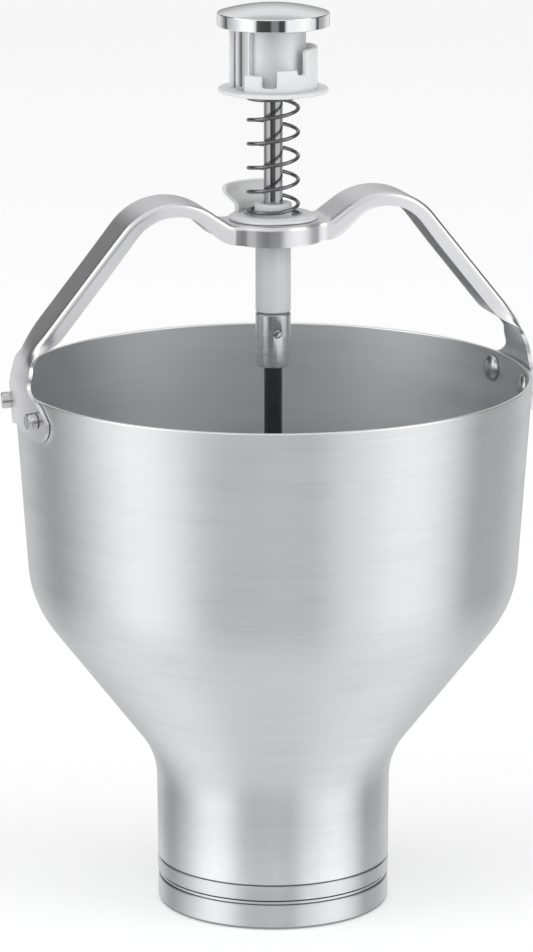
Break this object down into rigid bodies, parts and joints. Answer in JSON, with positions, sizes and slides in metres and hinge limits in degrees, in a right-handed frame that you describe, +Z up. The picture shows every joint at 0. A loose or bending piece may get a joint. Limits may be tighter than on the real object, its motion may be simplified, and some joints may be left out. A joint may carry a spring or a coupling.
{
  "type": "pancake batter dispenser",
  "caption": "Hand-held batter depositor: a spun metal hopper with a bridge handle, a spring-returned plunger and a turning portion dial over a metering cylinder.",
  "frame": {"origin": "centre of the standing face under the base ring", "axes": "+Z up along the plunger's axis, X along the bridge handle, -Y towards the camera's side of the picture, which stands 17 degrees round towards -X"},
  "size_m": [0.2498, 0.2414, 0.427],
  "materials": {
    "spun_aluminium": "satin spun",
    "turned_aluminium": "fine turned",
    "black_rubber": "matt",
    "polished_steel": "polished",
    "rivet_steel": "plain",
    "white_nylon": "satin",
    "spring_steel": "drawn",
    "chrome": "mirror",
    "rod_steel": "ground",
    "dark_steel": "dark"
  },
  "bodies": {
    "dispenser_frame": {"hopper": "spun_aluminium", "base_ring": "turned_aluminium", "lock_ring": "turned_aluminium", "outlet_cylinder": "turned_aluminium", "cylinder_seal": "black_rubber", "bridge_handle": "polished_steel", "rivet_left_front": "rivet_steel", "rivet_left_back": "rivet_steel", "rivet_right_front": "rivet_steel", "rivet_right_back": "rivet_steel", "guide_bush": "white_nylon", "bush_retainer": "spring_steel", "return_spring": "spring_steel"},
    "plunger": {"thumb_cap": "chrome", "upper_rod": "rod_steel", "coupling_sleeve": "polished_steel", "coupling_set_screw": "rivet_steel", "lower_rod": "dark_steel", "piston": "white_nylon", "piston_seal": "black_rubber", "piston_nut": "rivet_steel", "spacer_tube": "polished_steel", "outlet_valve": "white_nylon", "outlet_valve_seal": "black_rubber", "valve_washer": "rivet_steel", "valve_nut": "rivet_steel"},
    "dial": {"portion_dial": "white_nylon"}
  },
  "joints": [
    {"name": "plunger_press", "type": "slide", "parent": "dispenser_frame", "child": "plunger", "axis": [0, 0, -1], "range_m": [0, 0.044], "stiffness_N_per_m": 450, "springref_m": -0.03, "deforming": ["return_spring"]},
    {"name": "dial_turn", "type": "hinge", "parent": "plunger", "child": "dial", "pos_m": [0, 0, 0.3865], "axis": [0, 0, 1], "continuous": true}
  ]
}
